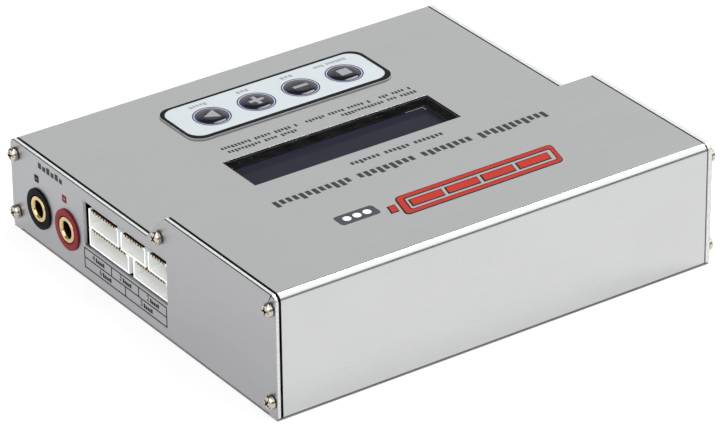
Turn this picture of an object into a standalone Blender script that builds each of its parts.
"""Balance battery charger: a stepped metal case with a display, four buttons, two output sockets,
five balance ports and, on the far end, a mains inlet, a DC jack, a sensor port and a cooling fan.

X runs along the case from the input end to the output end, Y from the low front to the raised back,
and Z up. The origin is on the surface that the case stands on, under its middle.
"""

import math

import bmesh
import bpy
from mathutils import Matrix

MM = 0.001

# Case
CASE_LENGTH = 142.0 * MM
CASE_DEPTH = 131.0 * MM
HIGH_TOP = 36.7 * MM
LOW_TOP = 27.5 * MM
STEP_TOP_Y = 13.6 * MM
WALL = 1.6 * MM
PLATE = 1.5 * MM
EDGE_RADIUS = 2.2 * MM
FOOT_WIDTH = 4.0 * MM
FOOT_HEIGHT = 0.6 * MM
FOOT_RADIUS = 1.2 * MM
GAP = 0.3 * MM
FILM_GAP = 0.1 * MM

# Screws of the end plates, as (y, z) of each axis
LOWER_FRONT_SCREW = (-62.8 * MM, 5.4 * MM)
UPPER_FRONT_SCREW = (-62.8 * MM, 23.3 * MM)
STEP_SCREW = (10.5 * MM, 29.75 * MM)
UPPER_BACK_SCREW = (63.2 * MM, 32.3 * MM)
LOWER_BACK_SCREW = (63.2 * MM, 5.0 * MM)
PLATE_SCREWS = (LOWER_FRONT_SCREW, UPPER_FRONT_SCREW, STEP_SCREW, UPPER_BACK_SCREW, LOWER_BACK_SCREW)
BOSS_RADIUS = 2.6 * MM
SCREW_RADIUS = 1.25 * MM
SCREW_LENGTH = 7.0 * MM
SCREW_HEAD_RADIUS = 2.0 * MM
SCREW_HEAD_HEIGHT = 1.6 * MM

# Keypad, its switches and the display
PANEL_X = -2.05 * MM
KEYPAD_SIZE = (68.1 * MM, 21.3 * MM)
KEYPAD_Y = -42.6 * MM
KEYPAD_CORNER = 4.6 * MM
KEYPAD_THICKNESS = 0.3 * MM
BUTTON_NAMES = ("stop", "minus", "plus", "start")
BUTTON_PITCH = 14.85 * MM
BUTTON_MID_X = -2.5 * MM
BUTTON_Y = -42.1 * MM
BUTTON_RADIUS = 4.6 * MM
BUTTON_FLANGE_RADIUS = 5.4 * MM
BUTTON_STEM_RADIUS = 1.7 * MM
BUTTON_RISE = 0.5 * MM
BUTTON_TRAVEL = 0.5 * MM
SWITCH_SIZE = (6.0 * MM, 6.0 * MM, 3.5 * MM)
WINDOW_SIZE = (68.5 * MM, 16.3 * MM)
WINDOW_Y = -10.05 * MM
GLASS_DEPTH = 3.0 * MM
GLASS_VIEW_LENGTH = 64.6 * MM
LEDGE = 0.3 * MM
COLLAR = 0.45 * MM

# Output end
SOCKET_Z = 11.3 * MM
SOCKET_YS = {"negative": -50.9 * MM, "positive": -36.2 * MM}
SOCKET_PLASTICS = {"negative": "black_plastic", "positive": "red_plastic"}
SOCKET_FLANGE_RADIUS = 6.0 * MM
SOCKET_FLANGE = 0.5 * MM
SOCKET_NECK_RADIUS = 4.9 * MM
SLEEVE_RADIUS = 3.75 * MM
SLEEVE_BORE_RADIUS = 2.4 * MM
PORT_WINDOW_Y = (-27.9 * MM, 13.7 * MM)
PORT_WINDOW_Z = (10.5 * MM, 24.0 * MM)
PORT_HEIGHT = 5.6 * MM
PORT_DEPTH = 7.0 * MM
PORT_WALL = 0.6 * MM
PORT_FLOOR = 2.0 * MM
PORT_FACE = 70.4 * MM
PORT_PITCH = 2.5 * MM
PORT_LOWER_Z = 10.8 * MM
PORT_UPPER_Z = 16.6 * MM
# Name: (pins, lowest y, lowest z)
BALANCE_PORTS = {
    "balance_port_4_cells": (5, -26.0 * MM, PORT_UPPER_Z),
    "balance_port_3_cells": (4, -10.0 * MM, PORT_UPPER_Z),
    "balance_port_2_cells": (3, 3.5 * MM, PORT_UPPER_Z),
    "balance_port_6_cells": (7, -26.0 * MM, PORT_LOWER_Z),
    "balance_port_5_cells": (6, -4.0 * MM, PORT_LOWER_Z),
}

# Input end
INLET_CENTRE = (46.5 * MM, 18.6 * MM)
INLET_SIZE = (27.0 * MM, 20.0 * MM)
INLET_FLANGE_SIZE = (30.6 * MM, 22.4 * MM)
INLET_CAVITY = (24.0 * MM, 16.4 * MM)
INLET_DEPTH = 19.0 * MM
INLET_CHAMFER = 4.0 * MM
INLET_PIN = (2.0 * MM, 4.0 * MM)
# Name: (y, z) from the inlet's centre
INLET_PINS = {"line": (-7.0 * MM, -2.0 * MM), "neutral": (7.0 * MM, -2.0 * MM), "earth": (0.0, 2.0 * MM)}
JACK_CENTRE = (-32.0 * MM, 12.0 * MM)
JACK_BODY = (9.0 * MM, 11.0 * MM)
JACK_LENGTH = 14.0 * MM
JACK_SNOUT_RADIUS = 3.9 * MM
JACK_BORE_RADIUS = 3.0 * MM
JACK_PIN_RADIUS = 1.0 * MM
SENSOR_PORT_CENTRE = (-12.0 * MM, 12.0 * MM)
SENSOR_PORT_SIZE = (9.9 * MM, 5.75 * MM)
FAN_CENTRE = (19.0 * MM, 14.5 * MM)
FAN_SIZE = 20.0 * MM
FAN_DEPTH = 10.0 * MM
FAN_BORE_RADIUS = 9.2 * MM
FAN_HUB_RADIUS = 4.4 * MM
FAN_BLADE_RADIUS = 8.6 * MM
FAN_BLADES = 7
FAN_BLADE_TWIST = math.radians(35)

# Boards, as the low and high (x, y) corners of each
BOARD = 1.6 * MM
LOWER_BOARD_Z = 4.3 * MM
MAIN_BOARD = ((-52.0 * MM, -58.0 * MM), (60.0 * MM, 6.0 * MM))
POWER_BOARD = ((-46.0 * MM, 12.0 * MM), (60.0 * MM, 58.0 * MM))
CONTROL_BOARD = ((-44.0 * MM, -56.0 * MM), (40.0 * MM, 1.0 * MM))
CONTROL_BOARD_TOP = 20.2 * MM
BALANCE_BOARD_X = 61.5 * MM
BALANCE_BOARD_Y = (-28.5 * MM, 15.5 * MM)
BALANCE_BOARD_TOP = 24.6 * MM
STANDOFF_RADIUS = 2.5 * MM
STANDOFFS = (
    (-46.0 * MM, -52.0 * MM),
    (54.0 * MM, -52.0 * MM),
    (-40.0 * MM, 52.0 * MM),
    (54.0 * MM, 52.0 * MM),
)

# Parts on the boards
TRANSFORMER_CENTRE = (8.0 * MM, 36.0 * MM)
TRANSFORMER_SIZE = (25.0 * MM, 9.0 * MM, 20.0 * MM)
TRANSFORMER_LEG = 3.2 * MM
WINDINGS_DEPTH = 18.0 * MM
CAPACITOR_END = (-38.0 * MM, 22.0 * MM)
CAPACITOR_RADIUS = 8.0 * MM
CAPACITOR_LENGTH = 30.0 * MM
HEATSINK_X = 30.0 * MM
HEATSINK_Y = (20.0 * MM, 54.0 * MM)
HEATSINK_HEIGHT = 16.0 * MM
HEATSINK_BASE = 3.0 * MM
HEATSINK_FINS = 6
FIN_PITCH = 4.0 * MM
FIN_THICKNESS = 1.4 * MM
COIL_CENTRE = (-20.0 * MM, -20.0 * MM)
COIL_RADIUS = 7.0 * MM
COIL_SECTION_RADIUS = 3.0 * MM
BUZZER_CENTRE = (28.0 * MM, -20.0 * MM)
BUZZER_RADIUS = 6.0 * MM
BUZZER_HEIGHT = 8.0 * MM
BUZZER_HOLE_RADIUS = 1.2 * MM
CHIP_CORNER = (2.0 * MM, -46.0 * MM)
CHIP_SIZE = (12.0 * MM, 12.0 * MM, 1.4 * MM)

# Derived places
PLATE_OUTER = CASE_LENGTH / 2
PLATE_INNER = PLATE_OUTER - PLATE
SHELL_END = PLATE_INNER - GAP
HALF_DEPTH = CASE_DEPTH / 2
STEP_FOOT_Y = STEP_TOP_Y - (HIGH_TOP - LOW_TOP)
LOW_CEILING = LOW_TOP - WALL
HIGH_CEILING = HIGH_TOP - WALL
INNER_SIDE = HALF_DEPTH - WALL
FOOT_INNER = HALF_DEPTH - FOOT_WIDTH
GROOVE_Y = FOOT_INNER + 1.3 * MM
GROOVE_Z = (0.9 * MM, 3.0 * MM)
BOTTOM_PLATE_Z = (GROOVE_Z[0] + GAP, GROOVE_Z[1] - GAP)
GLASS_TOP = LOW_TOP - GLASS_DEPTH
LOWER_BOARD_TOP = LOWER_BOARD_Z + BOARD
PART_BASE = LOWER_BOARD_TOP + GAP

ROUND = 24
SMALL_ROUND = 12
SMOOTH_ANGLE = math.radians(35)
MERGE = 1e-6
ALONG_X = Matrix.Rotation(math.pi / 2, 4, "Y")
ALONG_MINUS_X = Matrix.Rotation(-math.pi / 2, 4, "Y")

MATERIALS = {
    "case_silver": ((0.52, 0.53, 0.52), 0.75, 0.42),
    "steel": ((0.62, 0.60, 0.56), 1.0, 0.25),
    "brass": ((0.80, 0.62, 0.32), 1.0, 0.25),
    "black_plastic": ((0.015, 0.015, 0.017), 0.0, 0.45),
    "red_plastic": ((0.40, 0.02, 0.04), 0.0, 0.35),
    "white_nylon": ((0.82, 0.84, 0.82), 0.0, 0.45),
    "keypad_film": ((0.76, 0.80, 0.81), 0.0, 0.30),
    "button_black": ((0.02, 0.018, 0.03), 0.0, 0.15),
    "display_glass": ((0.015, 0.015, 0.03), 0.0, 0.06),
    "circuit_board": ((0.02, 0.16, 0.06), 0.0, 0.45),
    "copper": ((0.72, 0.33, 0.14), 1.0, 0.35),
    "ferrite": ((0.07, 0.07, 0.075), 0.0, 0.70),
    "capacitor_sleeve": ((0.03, 0.05, 0.16), 0.0, 0.35),
    "heatsink_aluminium": ((0.60, 0.61, 0.62), 1.0, 0.40),
}


# Scene and object helpers


def clear_scene():
    for obj in list(bpy.data.objects):
        bpy.data.objects.remove(obj, do_unlink=True)


def material(name):
    """The named material, made on its first use."""
    found = bpy.data.materials.get(name)
    if found:
        return found
    colour, metallic, roughness = MATERIALS[name]
    made = bpy.data.materials.new(name)
    made.use_nodes = True
    shader = made.node_tree.nodes["Principled BSDF"]
    shader.inputs["Base Color"].default_value = (*colour, 1.0)
    shader.inputs["Metallic"].default_value = metallic
    shader.inputs["Roughness"].default_value = roughness
    made.diffuse_color = (*colour, 1.0)
    return made


def add_object(name, mesh_builder, material_name, location=(0.0, 0.0, 0.0), smooth=False):
    """Turns a bmesh into a named object; a round part gets smooth shading with its sharp edges kept."""
    bmesh.ops.recalc_face_normals(mesh_builder, faces=mesh_builder.faces)
    mesh = bpy.data.meshes.new(name)
    mesh_builder.to_mesh(mesh)
    mesh_builder.free()
    if smooth:
        mesh.shade_smooth()
        mesh.set_sharp_from_angle(angle=SMOOTH_ANGLE)
    mesh.materials.append(material(material_name))
    obj = bpy.data.objects.new(name, mesh)
    obj.location = location
    bpy.context.scene.collection.objects.link(obj)
    return obj


def combine(obj, other_builder, operation):
    """Combines an object with the shapes in a bmesh, through a hidden helper and a Boolean modifier."""
    helper = add_object(f"{obj.name}_{operation.lower()}_helper", other_builder, "steel")
    helper.hide_render = True
    helper.display_type = "WIRE"
    boolean = obj.modifiers.new(operation.title(), "BOOLEAN")
    boolean.operation = operation
    boolean.solver = "EXACT"
    boolean.object = helper


def subtract(obj, cutter_builder):
    combine(obj, cutter_builder, "DIFFERENCE")


def join(obj, extra_builder):
    combine(obj, extra_builder, "UNION")


# Shape helpers


def arc(centre, radius, start, end, steps=6):
    """Points on an arc in a plane, from one angle in degrees to another."""
    points = []
    for step in range(steps + 1):
        angle = math.radians(start + (end - start) * step / steps)
        points.append((centre[0] + radius * math.cos(angle), centre[1] + radius * math.sin(angle)))
    return points


def rounded_rectangle(width, height, radius, steps=6):
    half_w = width / 2 - radius
    half_h = height / 2 - radius
    corners = (
        (half_w, half_h, 0),
        (-half_w, half_h, 90),
        (-half_w, -half_h, 180),
        (half_w, -half_h, 270),
    )
    points = []
    for x, y, start in corners:
        points += arc((x, y), radius, start, start + 90, steps)
    return points


def rectangle_at(centre, size, radius, steps):
    """A rounded rectangle round a centre."""
    outline = rounded_rectangle(size[0], size[1], radius, steps)
    return [(centre[0] + a, centre[1] + b) for a, b in outline]


def add_prism(bm, outline, low, high, axis="Z"):
    """Extrudes a closed outline, which is (y, z) along X, (x, z) along Y and (x, y) along Z."""
    place = {
        "X": lambda a, b, t: (t, a, b),
        "Y": lambda a, b, t: (a, t, b),
        "Z": lambda a, b, t: (a, b, t),
    }[axis]
    base = bm.faces.new([bm.verts.new(place(a, b, low)) for a, b in outline])
    result = bmesh.ops.extrude_face_region(bm, geom=[base], use_keep_orig=True)
    top = [item for item in result["geom"] if isinstance(item, bmesh.types.BMVert)]
    bmesh.ops.translate(bm, verts=top, vec=place(0.0, 0.0, high - low))


def add_box(bm, low, high):
    outline = ((low[0], low[1]), (high[0], low[1]), (high[0], high[1]), (low[0], high[1]))
    add_prism(bm, outline, low[2], high[2])


def add_turned(bm, profile, matrix=None, segments=ROUND):
    """Spins (radius, height) points round Z: a profile that starts and ends on the axis, or a loop."""
    verts = [bm.verts.new((radius, 0.0, height)) for radius, height in profile]
    edges = [bm.edges.new(pair) for pair in zip(verts, verts[1:])]
    if profile[0][0] > 0:
        edges.append(bm.edges.new((verts[-1], verts[0])))
    before = set(bm.verts) - set(verts)
    bmesh.ops.spin(
        bm, geom=verts + edges, cent=(0, 0, 0), axis=(0, 0, 1), angle=2 * math.pi, steps=segments
    )
    made = [vert for vert in bm.verts if vert not in before]
    bmesh.ops.remove_doubles(bm, verts=made, dist=MERGE)
    if matrix is not None:
        made = [vert for vert in bm.verts if vert not in before]
        bmesh.ops.transform(bm, matrix=matrix, verts=made)


def add_cylinder(bm, radius, low, high, matrix=None, segments=ROUND):
    add_turned(bm, ((0.0, low), (radius, low), (radius, high), (0.0, high)), matrix, segments)


def box_object(name, low, high, material_name):
    bm = bmesh.new()
    add_box(bm, low, high)
    return add_object(name, bm, material_name)


# The case


def case_outline():
    """The outside of the case in (y, z), from the front foot over the top to the back foot."""
    front = -HALF_DEPTH
    back = HALF_DEPTH
    points = [(front + FOOT_WIDTH, 0.0)]
    points += arc((front + FOOT_RADIUS, FOOT_RADIUS), FOOT_RADIUS, 270, 180, 4)
    points += arc((front + EDGE_RADIUS, LOW_TOP - EDGE_RADIUS), EDGE_RADIUS, 180, 90, 6)
    points += [(STEP_FOOT_Y, LOW_TOP), (STEP_TOP_Y, HIGH_TOP)]
    points += arc((back - EDGE_RADIUS, HIGH_TOP - EDGE_RADIUS), EDGE_RADIUS, 90, 0, 6)
    points += arc((back - FOOT_RADIUS, FOOT_RADIUS), FOOT_RADIUS, 360, 270, 4)
    points += [(back - FOOT_WIDTH, 0.0)]
    return points


def slope_line():
    """What y - z is along the inner face of the step, which rises at 45 degrees."""
    return STEP_FOOT_Y - LOW_TOP + WALL * math.sqrt(2)


def boss_at_step():
    """The screw channel under the step, in (y, z), from its upper joint with the slope downwards."""
    y, z = STEP_SCREW
    half = BOSS_RADIUS / math.sqrt(2)
    to_wall = (y - z - slope_line()) / 2
    return [
        (y + half - to_wall, z + half + to_wall),
        (y + 2 * half, z),
        (y, z - 2 * half),
        (y - half - to_wall, z - half + to_wall),
    ]


def case_inside():
    """The inside of the shell in (y, z), from the back foot to the front foot, with its screw channels."""
    slope = slope_line()
    boss_back = LOWER_BACK_SCREW[0] - BOSS_RADIUS
    boss_front = LOWER_FRONT_SCREW[0] + BOSS_RADIUS
    back = [
        (FOOT_INNER, GROOVE_Z[0]),
        (GROOVE_Y, GROOVE_Z[0]),
        (GROOVE_Y, GROOVE_Z[1]),
        (boss_back, GROOVE_Z[1]),
        (boss_back, LOWER_BACK_SCREW[1] + BOSS_RADIUS),
        (INNER_SIDE, LOWER_BACK_SCREW[1] + BOSS_RADIUS),
        (INNER_SIDE, UPPER_BACK_SCREW[1] - BOSS_RADIUS),
        (boss_back, UPPER_BACK_SCREW[1] - BOSS_RADIUS),
        (boss_back, HIGH_CEILING),
    ]
    step = [(HIGH_CEILING + slope, HIGH_CEILING)] + boss_at_step() + [(LOW_CEILING + slope, LOW_CEILING)]
    front = [
        (boss_front, LOW_CEILING),
        (boss_front, UPPER_FRONT_SCREW[1] - BOSS_RADIUS),
        (-INNER_SIDE, UPPER_FRONT_SCREW[1] - BOSS_RADIUS),
        (-INNER_SIDE, LOWER_FRONT_SCREW[1] + BOSS_RADIUS),
        (boss_front, LOWER_FRONT_SCREW[1] + BOSS_RADIUS),
        (boss_front, GROOVE_Z[1]),
        (-GROOVE_Y, GROOVE_Z[1]),
        (-GROOVE_Y, GROOVE_Z[0]),
        (-FOOT_INNER, GROOVE_Z[0]),
    ]
    return back + step + front


def button_xs():
    """Each button's name with the x of its middle."""
    middle = (len(BUTTON_NAMES) - 1) / 2
    return {
        name: BUTTON_MID_X + (place - middle) * BUTTON_PITCH
        for place, name in enumerate(BUTTON_NAMES)
    }


def make_upper_shell():
    bm = bmesh.new()
    add_prism(bm, case_outline() + case_inside(), -SHELL_END, SHELL_END, "X")
    shell = add_object("upper_shell", bm, "case_silver")

    holes = bmesh.new()
    half_x = WINDOW_SIZE[0] / 2
    half_y = WINDOW_SIZE[1] / 2
    add_box(
        holes,
        (PANEL_X - half_x, WINDOW_Y - half_y, LOW_CEILING - WALL),
        (PANEL_X + half_x, WINDOW_Y + half_y, LOW_TOP + WALL),
    )
    for x in button_xs().values():
        at = Matrix.Translation((x, BUTTON_Y, 0.0))
        add_cylinder(holes, BUTTON_RADIUS + GAP, LOW_CEILING - WALL, LOW_TOP + WALL, at)
    for y, z in PLATE_SCREWS:
        for end in (-1, 1):
            at = Matrix.Translation((end * SHELL_END, y, z)) @ ALONG_X
            add_cylinder(holes, SCREW_RADIUS + GAP, -SCREW_LENGTH, SCREW_LENGTH, at, SMALL_ROUND)
    subtract(shell, holes)


def make_bottom_plate():
    """The plate that slides in between the foot rails, with two rows of air slots."""
    slots = 8
    slot_pitch = 7.0 * MM
    slot_size = (2.4 * MM, 20.0 * MM)
    bm = bmesh.new()
    half_y = GROOVE_Y - GAP
    add_box(bm, (-SHELL_END, -half_y, BOTTOM_PLATE_Z[0]), (SHELL_END, half_y, BOTTOM_PLATE_Z[1]))
    plate = add_object("bottom_plate", bm, "case_silver")
    holes = bmesh.new()
    for row_y in (-24.0 * MM, 40.0 * MM):
        for place in range(slots):
            x = (place - (slots - 1) / 2) * slot_pitch
            outline = rectangle_at((x, row_y), slot_size, 1.1 * MM, 2)
            add_prism(holes, outline, 0.0, BOTTOM_PLATE_Z[1] + PLATE)
    subtract(plate, holes)


def end_plate(name, side, holes):
    """An end plate flush with the outside of the shell, with its screw holes and the given cutouts."""
    bm = bmesh.new()
    outline = case_outline()
    outline += [(FOOT_INNER, FOOT_HEIGHT), (-FOOT_INNER, FOOT_HEIGHT)]
    low, high = sorted((side * PLATE_INNER, side * PLATE_OUTER))
    add_prism(bm, outline, low, high, "X")
    plate = add_object(name, bm, "case_silver")
    for y, z in PLATE_SCREWS:
        at = Matrix.Translation((side * PLATE_OUTER, y, z)) @ ALONG_X
        add_cylinder(holes, SCREW_RADIUS + GAP, -2 * PLATE, 2 * PLATE, at, SMALL_ROUND)
    subtract(plate, holes)


def make_end_plates():
    out = PLATE_OUTER + PLATE
    inward = PLATE_INNER - PLATE
    output_holes = bmesh.new()
    for y in SOCKET_YS.values():
        at = Matrix.Translation((PLATE_OUTER, y, SOCKET_Z)) @ ALONG_X
        add_cylinder(output_holes, SOCKET_NECK_RADIUS + GAP, -2 * PLATE, 2 * PLATE, at)
    add_box(
        output_holes,
        (inward, PORT_WINDOW_Y[0], PORT_WINDOW_Z[0]),
        (out, PORT_WINDOW_Y[1], PORT_WINDOW_Z[1]),
    )
    end_plate("output_end_plate", 1, output_holes)

    input_holes = bmesh.new()
    for centre, size in ((INLET_CENTRE, INLET_SIZE), (SENSOR_PORT_CENTRE, SENSOR_PORT_SIZE)):
        half_y = size[0] / 2 + GAP
        half_z = size[1] / 2 + GAP
        add_box(
            input_holes,
            (-out, centre[0] - half_y, centre[1] - half_z),
            (-inward, centre[0] + half_y, centre[1] + half_z),
        )
    at = Matrix.Translation((-PLATE_OUTER, *JACK_CENTRE)) @ ALONG_X
    add_cylinder(input_holes, JACK_SNOUT_RADIUS + GAP, -2 * PLATE, 2 * PLATE, at)
    add_fan_grille(input_holes)
    end_plate("input_end_plate", -1, input_holes)


def add_fan_grille(holes):
    """Two rings of round holes in front of the fan."""
    for ring_radius, count, hole_radius in ((3.4 * MM, 6, 1.2 * MM), (7.2 * MM, 12, 1.4 * MM)):
        for place in range(count):
            angle = 2 * math.pi * place / count
            y = FAN_CENTRE[0] + ring_radius * math.cos(angle)
            z = FAN_CENTRE[1] + ring_radius * math.sin(angle)
            at = Matrix.Translation((-PLATE_OUTER, y, z)) @ ALONG_X
            add_cylinder(holes, hole_radius, -2 * PLATE, 2 * PLATE, at, 8)


def make_plate_screws():
    """Ten pan-head screws, five in each end plate, each a separate piece."""
    under_head = PLATE_OUTER + GAP
    tip = PLATE_INNER - GAP - SCREW_LENGTH + 1.0 * MM
    rim = 0.5 * SCREW_HEAD_HEIGHT
    profile = [(0.0, tip), (SCREW_RADIUS * 0.6, tip), (SCREW_RADIUS, tip + 0.8 * MM)]
    profile += [(SCREW_RADIUS, under_head), (SCREW_HEAD_RADIUS, under_head)]
    profile += [(SCREW_HEAD_RADIUS, under_head + rim)]
    for step in (1, 2):
        angle = math.radians(30.0 * step)
        height = under_head + rim + (SCREW_HEAD_HEIGHT - rim) * math.sin(angle)
        profile.append((SCREW_HEAD_RADIUS * math.cos(angle) ** 0.6, height))
    profile.append((0.0, under_head + SCREW_HEAD_HEIGHT))
    for end, turn in (("output", ALONG_X), ("input", ALONG_MINUS_X)):
        for place, (y, z) in enumerate(PLATE_SCREWS, start=1):
            bm = bmesh.new()
            add_turned(bm, profile, turn, SMALL_ROUND)
            add_object(f"{end}_plate_screw_{place}", bm, "steel", (0.0, y, z), smooth=True)


# Keypad and display


def make_keypad_overlay():
    bm = bmesh.new()
    low = LOW_TOP + FILM_GAP
    outline = rectangle_at((PANEL_X, KEYPAD_Y), KEYPAD_SIZE, KEYPAD_CORNER, 6)
    add_prism(bm, outline, low, low + KEYPAD_THICKNESS)
    overlay = add_object("keypad_overlay", bm, "keypad_film")
    holes = bmesh.new()
    for x in button_xs().values():
        at = Matrix.Translation((x, BUTTON_Y, 0.0))
        add_cylinder(holes, BUTTON_RADIUS + GAP, LOW_CEILING, LOW_TOP + WALL, at)
    subtract(overlay, holes)


def make_buttons():
    """Four domed caps, each with a flange that holds it under the shell and a stem for its switch."""
    switch_top = CONTROL_BOARD_TOP + GAP + SWITCH_SIZE[2]
    flange_low = switch_top + GAP + BUTTON_TRAVEL
    flange_high = LOW_CEILING - GAP
    rim = LOW_TOP + FILM_GAP + KEYPAD_THICKNESS
    stem_low = switch_top - 1.2 * MM
    profile = [(0.0, stem_low), (BUTTON_STEM_RADIUS, stem_low), (BUTTON_STEM_RADIUS, flange_low)]
    profile += [(BUTTON_FLANGE_RADIUS, flange_low), (BUTTON_FLANGE_RADIUS, flange_high)]
    profile += [(BUTTON_RADIUS, flange_high), (BUTTON_RADIUS, rim)]
    for step in range(1, 4):
        angle = math.radians(22.5 * step)
        profile.append((BUTTON_RADIUS * math.cos(angle), rim + BUTTON_RISE * math.sin(angle)))
    profile.append((0.0, rim + BUTTON_RISE))
    for name, x in button_xs().items():
        bm = bmesh.new()
        add_turned(bm, profile)
        add_object(f"{name}_button", bm, "button_black", (x, BUTTON_Y, 0.0), smooth=True)


def make_switches():
    """A tact switch under each button, open on top for the button's stem."""
    low = CONTROL_BOARD_TOP + GAP
    high = low + SWITCH_SIZE[2]
    well = 2.2 * MM
    for name, x in button_xs().items():
        bm = bmesh.new()
        outline = rectangle_at((x, BUTTON_Y), SWITCH_SIZE, 0.5 * MM, 2)
        add_prism(bm, outline, low, high)
        switch = add_object(f"{name}_switch", bm, "black_plastic")
        hole = bmesh.new()
        at = Matrix.Translation((x, BUTTON_Y, 0.0))
        add_cylinder(hole, BUTTON_STEM_RADIUS + GAP, high - well, high + well, at, SMALL_ROUND)
        subtract(switch, hole)


def add_window_box(bm, half_x, half_y, low, high):
    """A box round the middle of the display window."""
    low_corner = (PANEL_X - half_x, WINDOW_Y - half_y, low)
    high_corner = (PANEL_X + half_x, WINDOW_Y + half_y, high)
    add_box(bm, low_corner, high_corner)


def make_display():
    """A black frame whose collar lines the window, and the glass, which stops against its ledge."""
    shoulder = LOW_CEILING - GAP
    bottom = CONTROL_BOARD_TOP + GAP
    collar_half = (WINDOW_SIZE[0] / 2 - GAP / 2, WINDOW_SIZE[1] / 2 - GAP / 2)
    opening_half = (collar_half[0] - COLLAR, collar_half[1] - COLLAR)
    border = 3.0 * MM
    ledge_top = GLASS_TOP + FILM_GAP + LEDGE
    view_half = (GLASS_VIEW_LENGTH / 2, opening_half[1] - FILM_GAP)
    glass_half = (view_half[0] + 1.0 * MM, view_half[1] + 1.0 * MM)

    bm = bmesh.new()
    add_window_box(bm, collar_half[0] + border, collar_half[1] + border, bottom, shoulder)
    frame = add_object("display_frame", bm, "black_plastic")
    collar = bmesh.new()
    add_window_box(collar, collar_half[0], collar_half[1], shoulder - GAP, LOW_TOP - GAP)
    join(frame, collar)
    levels = (
        (opening_half, ledge_top, LOW_TOP + GAP),
        (view_half, GLASS_TOP - GAP, ledge_top + GAP),
        ((glass_half[0] + GAP, glass_half[1] + GAP), bottom - WALL, GLASS_TOP + FILM_GAP),
    )
    for (half_x, half_y), low, high in levels:
        hole = bmesh.new()
        add_window_box(hole, half_x, half_y, low, high)
        subtract(frame, hole)

    bm = bmesh.new()
    add_window_box(bm, glass_half[0], glass_half[1], bottom + FILM_GAP, GLASS_TOP)
    add_object("display_glass", bm, "display_glass")


# Output end


def make_output_sockets():
    """Two 4 mm sockets: a flanged plastic body and a metal sleeve that is closed at its back."""
    flange_back = PLATE_OUTER + FILM_GAP
    body_back = 50.0 * MM
    bore = SLEEVE_RADIUS + GAP
    body = [
        (bore, body_back),
        (SOCKET_NECK_RADIUS, body_back),
        (SOCKET_NECK_RADIUS, flange_back),
        (SOCKET_FLANGE_RADIUS, flange_back),
        (SOCKET_FLANGE_RADIUS, flange_back + 0.6 * SOCKET_FLANGE),
        (SOCKET_FLANGE_RADIUS - 0.3 * MM, flange_back + SOCKET_FLANGE),
        (bore, flange_back + SOCKET_FLANGE),
    ]
    face = PLATE_OUTER
    tail = 46.0 * MM
    sleeve = [
        (0.0, tail),
        (SLEEVE_RADIUS, tail),
        (SLEEVE_RADIUS, face),
        (SLEEVE_BORE_RADIUS + 0.4 * MM, face),
        (SLEEVE_BORE_RADIUS, face - 0.4 * MM),
        (SLEEVE_BORE_RADIUS, face - 18.0 * MM),
        (0.0, face - 18.0 * MM),
    ]
    for name, y in SOCKET_YS.items():
        place = (0.0, y, SOCKET_Z)
        bm = bmesh.new()
        add_turned(bm, body, ALONG_X)
        add_object(f"{name}_socket_body", bm, SOCKET_PLASTICS[name], place, smooth=True)
        bm = bmesh.new()
        add_turned(bm, sleeve, ALONG_X)
        add_object(f"{name}_socket_sleeve", bm, "brass", place, smooth=True)


def make_balance_ports():
    """Shrouded pin headers, open towards the plate's window, one for each cell count."""
    back = PORT_FACE - PORT_DEPTH
    for name, (pins, y_low, z_low) in BALANCE_PORTS.items():
        width = PORT_PITCH * (pins - 1) + 4.9 * MM
        bm = bmesh.new()
        add_box(bm, (back, y_low, z_low), (PORT_FACE, y_low + width, z_low + PORT_HEIGHT))
        port = add_object(name, bm, "white_nylon")
        cavity = bmesh.new()
        add_box(
            cavity,
            (back + PORT_FLOOR, y_low + PORT_WALL, z_low + PORT_WALL),
            (PORT_FACE + PORT_WALL, y_low + width - PORT_WALL, z_low + PORT_HEIGHT - PORT_WALL),
        )
        subtract(port, cavity)
    box_object(
        "balance_board",
        (BALANCE_BOARD_X, BALANCE_BOARD_Y[0], LOWER_BOARD_TOP + GAP),
        (BALANCE_BOARD_X + BOARD, BALANCE_BOARD_Y[1], BALANCE_BOARD_TOP),
        "circuit_board",
    )


# Input end


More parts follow.
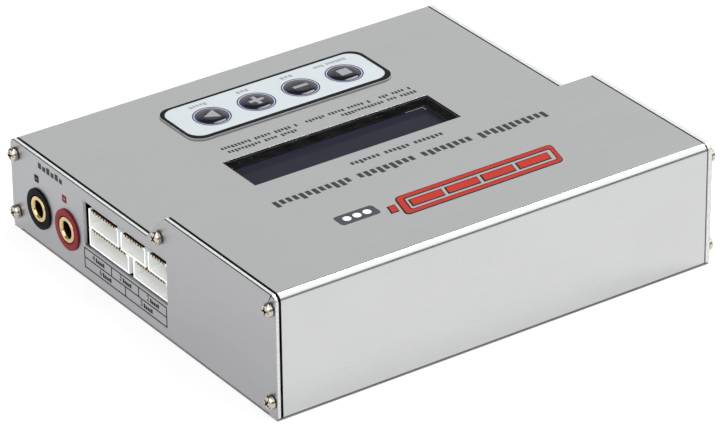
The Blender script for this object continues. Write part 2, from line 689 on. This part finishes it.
def make_mains_inlet():
    y, z = INLET_CENTRE
    flange_back = -PLATE_OUTER - GAP
    flange_face = -PLATE_OUTER - GAP - SCREW_HEAD_HEIGHT
    inner_end = flange_face + INLET_DEPTH
    bm = bmesh.new()
    half = (INLET_SIZE[0] / 2, INLET_SIZE[1] / 2)
    add_box(bm, (flange_back - GAP, y - half[0], z - half[1]), (inner_end, y + half[0], z + half[1]))
    inlet = add_object("mains_inlet_body", bm, "black_plastic")
    flange = bmesh.new()
    outline = rectangle_at((y, z), INLET_FLANGE_SIZE, 1.5 * MM, 4)
    add_prism(flange, outline, flange_face, flange_back, "X")
    join(inlet, flange)

    half_y = INLET_CAVITY[0] / 2
    half_z = INLET_CAVITY[1] / 2
    outline = [
        (y - half_y, z - half_z),
        (y + half_y, z - half_z),
        (y + half_y, z + half_z - INLET_CHAMFER),
        (y + half_y - INLET_CHAMFER, z + half_z),
        (y - half_y + INLET_CHAMFER, z + half_z),
        (y - half_y, z + half_z - INLET_CHAMFER),
    ]
    cavity = bmesh.new()
    floor = inner_end - 2.5 * MM
    add_prism(cavity, outline, flange_face - PLATE, floor, "X")
    subtract(inlet, cavity)
    slots = bmesh.new()
    for pin_y, pin_z in INLET_PINS.values():
        half_w = INLET_PIN[0] / 2 + GAP
        half_h = INLET_PIN[1] / 2 + GAP
        add_box(
            slots,
            (floor - PLATE, y + pin_y - half_w, z + pin_z - half_h),
            (inner_end + PLATE, y + pin_y + half_w, z + pin_z + half_h),
        )
    subtract(inlet, slots)
    for name, (pin_y, pin_z) in INLET_PINS.items():
        bm = bmesh.new()
        add_box(
            bm,
            (flange_face + 3.0 * MM, y + pin_y - INLET_PIN[0] / 2, z + pin_z - INLET_PIN[1] / 2),
            (inner_end + 3.5 * MM, y + pin_y + INLET_PIN[0] / 2, z + pin_z + INLET_PIN[1] / 2),
        )
        bmesh.ops.bevel(bm, geom=bm.edges[:], offset=0.35 * MM, segments=1, affect="EDGES")
        add_object(f"mains_inlet_{name}_pin", bm, "brass")


def make_dc_jack():
    y, z = JACK_CENTRE
    body_front = -SHELL_END
    bore_end = -PLATE_OUTER + 9.0 * MM
    inner_end = body_front + JACK_LENGTH
    bm = bmesh.new()
    half_y = JACK_BODY[0] / 2
    half_z = JACK_BODY[1] / 2
    at = Matrix.Translation((0.0, y, z)) @ ALONG_X
    add_box(bm, (body_front, y - half_y, z - half_z), (inner_end, y + half_y, z + half_z))
    jack = add_object("dc_jack_body", bm, "black_plastic")
    snout = bmesh.new()
    add_cylinder(snout, JACK_SNOUT_RADIUS, -PLATE_OUTER, body_front + GAP, at)
    join(jack, snout)
    bore = bmesh.new()
    add_cylinder(bore, JACK_BORE_RADIUS, -PLATE_OUTER - PLATE, bore_end, at)
    subtract(jack, bore)
    pin_hole = bmesh.new()
    add_cylinder(pin_hole, JACK_PIN_RADIUS + GAP, bore_end - PLATE, inner_end + PLATE, at, 16)
    subtract(jack, pin_hole)
    bm = bmesh.new()
    tip = -PLATE_OUTER + 1.0 * MM
    tail = inner_end + 2.0 * MM
    radius = JACK_PIN_RADIUS
    profile = [(0.0, tip), (0.5 * radius, tip), (radius, tip + 0.6 * MM), (radius, tail), (0.0, tail)]
    add_turned(bm, profile, ALONG_X, 16)
    add_object("dc_jack_pin", bm, "brass", (0.0, y, z), smooth=True)


def make_sensor_port():
    y, z = SENSOR_PORT_CENTRE
    half_y = SENSOR_PORT_SIZE[0] / 2
    half_z = SENSOR_PORT_SIZE[1] / 2
    face = -PLATE_OUTER + 0.6 * MM
    bm = bmesh.new()
    add_box(bm, (face, y - half_y, z - half_z), (face + PORT_DEPTH, y + half_y, z + half_z))
    port = add_object("sensor_port", bm, "white_nylon")
    cavity = bmesh.new()
    add_box(
        cavity,
        (face - PLATE, y - half_y + PORT_WALL, z - half_z + PORT_WALL),
        (face + PORT_DEPTH - PORT_FLOOR, y + half_y - PORT_WALL, z + half_z - PORT_WALL),
    )
    subtract(port, cavity)


def make_fan():
    """A square frame with a bore and a three-armed spider at its back, and its rotor."""
    y, z = FAN_CENTRE
    face = -SHELL_END
    back = face + FAN_DEPTH
    spider = 1.2 * MM
    shaft_radius = 0.8 * MM
    bm = bmesh.new()
    outline = rectangle_at((y, z), (FAN_SIZE, FAN_SIZE), 1.5 * MM, 4)
    add_prism(bm, outline, face, back, "X")
    frame = add_object("fan_frame", bm, "black_plastic")
    bore = bmesh.new()
    at = Matrix.Translation((0.0, y, z)) @ ALONG_X
    add_cylinder(bore, FAN_BORE_RADIUS, face - PLATE, back - spider, at)
    subtract(frame, bore)
    gaps = bmesh.new()
    for place in range(3):
        start = 120 * place + 12
        outline = arc((y, z), FAN_BORE_RADIUS, start, start + 96, 6)
        outline += arc((y, z), FAN_HUB_RADIUS, start + 96, start, 6)
        add_prism(gaps, outline, back - 2 * spider, back + spider, "X")
    subtract(frame, gaps)
    hole = bmesh.new()
    add_cylinder(hole, shaft_radius + GAP, back - 2 * spider, back + spider, at, 16)
    subtract(frame, hole)
    make_fan_rotor(face + 0.8 * MM, back - spider - GAP, back, shaft_radius)


def make_fan_rotor(hub_low, hub_high, shaft_end, shaft_radius):
    """A hub with blades grown out of every third of its side faces and a shaft on its back."""
    sides_per_blade = 3
    segments = FAN_BLADES * sides_per_blade
    bm = bmesh.new()
    profile = [
        (0.0, hub_low),
        (FAN_HUB_RADIUS - 0.5 * MM, hub_low),
        (FAN_HUB_RADIUS - 0.1 * MM, hub_low + 0.5 * MM),
        (FAN_HUB_RADIUS - 0.1 * MM, hub_high),
        (shaft_radius, hub_high),
        (shaft_radius, shaft_end),
        (0.0, shaft_end),
    ]
    add_turned(bm, profile, None, segments)
    bm.faces.ensure_lookup_table()
    sides = []
    for face in bm.faces:
        middle = face.calc_center_median()
        radius = math.hypot(middle.x, middle.y)
        if abs(face.normal.z) < 0.1 and radius > FAN_HUB_RADIUS * 0.9:
            sides.append((math.atan2(middle.y, middle.x), face))
    sides.sort(key=lambda side: side[0])
    for angle, face in sides[::sides_per_blade]:
        tip = bmesh.ops.extrude_discrete_faces(bm, faces=[face])["faces"][0]
        reach = FAN_BLADE_RADIUS - FAN_HUB_RADIUS - 0.4 * MM
        outward = (math.cos(angle) * reach, math.sin(angle) * reach, 0.0)
        bmesh.ops.translate(bm, verts=tip.verts, vec=outward)
        centre = tip.calc_center_median()
        turn = Matrix.Rotation(FAN_BLADE_TWIST, 3, (math.cos(angle), math.sin(angle), 0.0))
        bmesh.ops.rotate(bm, verts=tip.verts, cent=centre, matrix=turn)
        bmesh.ops.scale(
            bm, verts=tip.verts, vec=(1.0, 1.0, 0.8), space=Matrix.Translation(-centre)
        )
    bmesh.ops.transform(bm, matrix=ALONG_X, verts=bm.verts)
    add_object("fan_rotor", bm, "black_plastic", (0.0, *FAN_CENTRE))


# Boards and what they carry


def add_board(name, corners, low):
    low_corner = (*corners[0], low)
    high_corner = (*corners[1], low + BOARD)
    box_object(name, low_corner, high_corner, "circuit_board")


def make_boards():
    add_board("main_board", MAIN_BOARD, LOWER_BOARD_Z)
    add_board("power_supply_board", POWER_BOARD, LOWER_BOARD_Z)
    add_board("control_board", CONTROL_BOARD, CONTROL_BOARD_TOP - BOARD)
    standoff_low = BOTTOM_PLATE_Z[1] + GAP
    for place, (x, y) in enumerate(STANDOFFS, start=1):
        bm = bmesh.new()
        at = Matrix.Translation((x, y, 0.0))
        add_cylinder(bm, STANDOFF_RADIUS, standoff_low, LOWER_BOARD_Z - GAP, at, 6)
        add_object(f"board_standoff_{place}", bm, "brass")


def make_transformer():
    """A core with two windows, and the windings round its middle leg."""
    x, y = TRANSFORMER_CENTRE
    length, depth, height = TRANSFORMER_SIZE
    low = PART_BASE + 1.0 * MM
    leg = TRANSFORMER_LEG
    middle = 2 * leg
    bm = bmesh.new()
    add_box(bm, (x - length / 2, y - depth / 2, low), (x + length / 2, y + depth / 2, low + height))
    core = add_object("transformer_core", bm, "ferrite")
    windows = bmesh.new()
    for side in (-1, 1):
        near, far = sorted((side * middle / 2, side * (length / 2 - leg)))
        add_box(windows, (x + near, y - depth, low + leg), (x + far, y + depth, low + height - leg))
    subtract(core, windows)

    bm = bmesh.new()
    size = (length - 2 * leg - 2 * GAP, WINDINGS_DEPTH)
    outline = rectangle_at((x, y), size, 3.0 * MM, 4)
    add_prism(bm, outline, low + leg + GAP, low + height - leg - GAP)
    windings = add_object("transformer_windings", bm, "copper")
    core_hole = bmesh.new()
    half_x = middle / 2 + GAP
    half_y = depth / 2 + GAP
    add_box(core_hole, (x - half_x, y - half_y, low), (x + half_x, y + half_y, low + height))
    subtract(windings, core_hole)


def make_mains_capacitor():
    radius = CAPACITOR_RADIUS
    rounding = 0.8 * MM
    profile = [
        (0.0, 0.0),
        (radius - rounding, 0.0),
        (radius, rounding),
        (radius, CAPACITOR_LENGTH - rounding),
        (radius - rounding, CAPACITOR_LENGTH),
        (0.0, CAPACITOR_LENGTH),
    ]
    bm = bmesh.new()
    add_turned(bm, profile, ALONG_X)
    place = (*CAPACITOR_END, PART_BASE + radius)
    add_object("mains_capacitor", bm, "capacitor_sleeve", place, smooth=True)


def make_heatsink():
    """A base with a comb of upright fins, extruded along Y."""
    width = (HEATSINK_FINS - 1) * FIN_PITCH + FIN_THICKNESS
    outline = [(0.0, 0.0), (width, 0.0)]
    for place in reversed(range(HEATSINK_FINS)):
        left = place * FIN_PITCH
        outline += [(left + FIN_THICKNESS, HEATSINK_HEIGHT), (left, HEATSINK_HEIGHT)]
        if place:
            outline += [(left, HEATSINK_BASE), (left - FIN_PITCH + FIN_THICKNESS, HEATSINK_BASE)]
    bm = bmesh.new()
    placed = [(HEATSINK_X + a, PART_BASE + b) for a, b in outline]
    add_prism(bm, placed, HEATSINK_Y[0], HEATSINK_Y[1], "Y")
    add_object("heatsink", bm, "heatsink_aluminium")


def make_inductor_coil():
    section = arc((COIL_RADIUS, 0.0), COIL_SECTION_RADIUS, 0, 360, 8)[:-1]
    bm = bmesh.new()
    add_turned(bm, section, None, 18)
    place = (*COIL_CENTRE, PART_BASE + COIL_SECTION_RADIUS)
    add_object("inductor_coil", bm, "copper", place, smooth=True)


def make_buzzer():
    rounding = 0.4 * MM
    hole_floor = BUZZER_HEIGHT - 1.5 * MM
    profile = [
        (0.0, 0.0),
        (BUZZER_RADIUS, 0.0),
        (BUZZER_RADIUS, BUZZER_HEIGHT - rounding),
        (BUZZER_RADIUS - rounding, BUZZER_HEIGHT),
        (BUZZER_HOLE_RADIUS, BUZZER_HEIGHT),
        (BUZZER_HOLE_RADIUS, hole_floor),
        (0.0, hole_floor),
    ]
    bm = bmesh.new()
    add_turned(bm, profile, Matrix.Translation((*BUZZER_CENTRE, PART_BASE)))
    add_object("buzzer", bm, "black_plastic", smooth=True)


def make_microcontroller():
    x, y = CHIP_CORNER
    bm = bmesh.new()
    high_corner = (x + CHIP_SIZE[0], y + CHIP_SIZE[1], PART_BASE + CHIP_SIZE[2])
    add_box(bm, (x, y, PART_BASE), high_corner)
    bmesh.ops.bevel(bm, geom=bm.edges[:], offset=0.3 * MM, segments=1, affect="EDGES")
    add_object("microcontroller", bm, "black_plastic")


def main():
    clear_scene()
    make_upper_shell()
    make_bottom_plate()
    make_end_plates()
    make_plate_screws()
    make_keypad_overlay()
    make_buttons()
    make_switches()
    make_display()
    make_output_sockets()
    make_balance_ports()
    make_mains_inlet()
    make_dc_jack()
    make_sensor_port()
    make_fan()
    make_boards()
    make_transformer()
    make_mains_capacitor()
    make_heatsink()
    make_inductor_coil()
    make_buzzer()
    make_microcontroller()


main()
